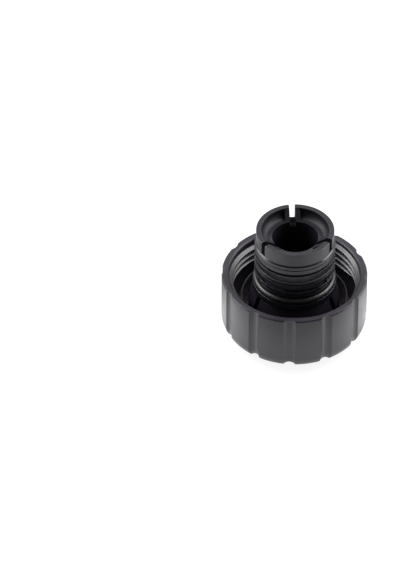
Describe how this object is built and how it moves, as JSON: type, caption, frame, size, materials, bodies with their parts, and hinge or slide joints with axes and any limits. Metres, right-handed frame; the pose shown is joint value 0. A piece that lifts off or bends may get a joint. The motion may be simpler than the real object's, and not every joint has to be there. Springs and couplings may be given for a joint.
{
  "type": "coolant reservoir cap",
  "caption": "Screw cap for a coolant expansion tank: fluted black shell with internal thread and a swivelling valve plug with ring seals, pressure and vacuum valves.",
  "frame": {"origin": "centre of the cap's flat outer top face, which it rests on upside down", "axes": "+Z along the cap's axis, out of the open mouth towards the plug's tip; +X through the middle of a grip flute"},
  "size_m": [0.0598, 0.0598, 0.0504],
  "materials": {
    "shell_plastic": "satin moulded black polyamide",
    "plug_plastic": "satin moulded black polyamide",
    "seal_rubber": "smooth black rubber",
    "valve_plastic": "satin moulded black polyamide",
    "spring_steel": "bright spring wire"
  },
  "bodies": {
    "shell": {"cap_shell": "shell_plastic"},
    "plug": {"valve_housing": "plug_plastic", "upper_o_ring": "seal_rubber", "root_o_ring": "seal_rubber", "spring_seat": "valve_plastic", "pressure_spring": "spring_steel"},
    "pressure_valve": {"pressure_plate": "valve_plastic", "valve_seal": "seal_rubber", "vacuum_spring": "spring_steel"},
    "vacuum_valve": {"vacuum_poppet": "valve_plastic", "poppet_clip": "valve_plastic"}
  },
  "joints": [
    {"name": "plug_swivel", "type": "hinge", "parent": "shell", "child": "plug", "pos_m": [0, 0, 0.02], "axis": [0, 0, 1], "continuous": true},
    {"name": "pressure_slide", "type": "slide", "parent": "plug", "child": "pressure_valve", "axis": [0, 0, -1], "range_m": [0, 0.002], "stiffness_N_per_m": 60, "springref_m": -0.002, "deforming": ["pressure_spring"]},
    {"name": "vacuum_slide", "type": "slide", "parent": "pressure_valve", "child": "vacuum_valve", "axis": [0, 0, 1], "range_m": [0, 0.0012], "stiffness_N_per_m": 20, "springref_m": -0.001, "deforming": ["vacuum_spring"]}
  ]
}
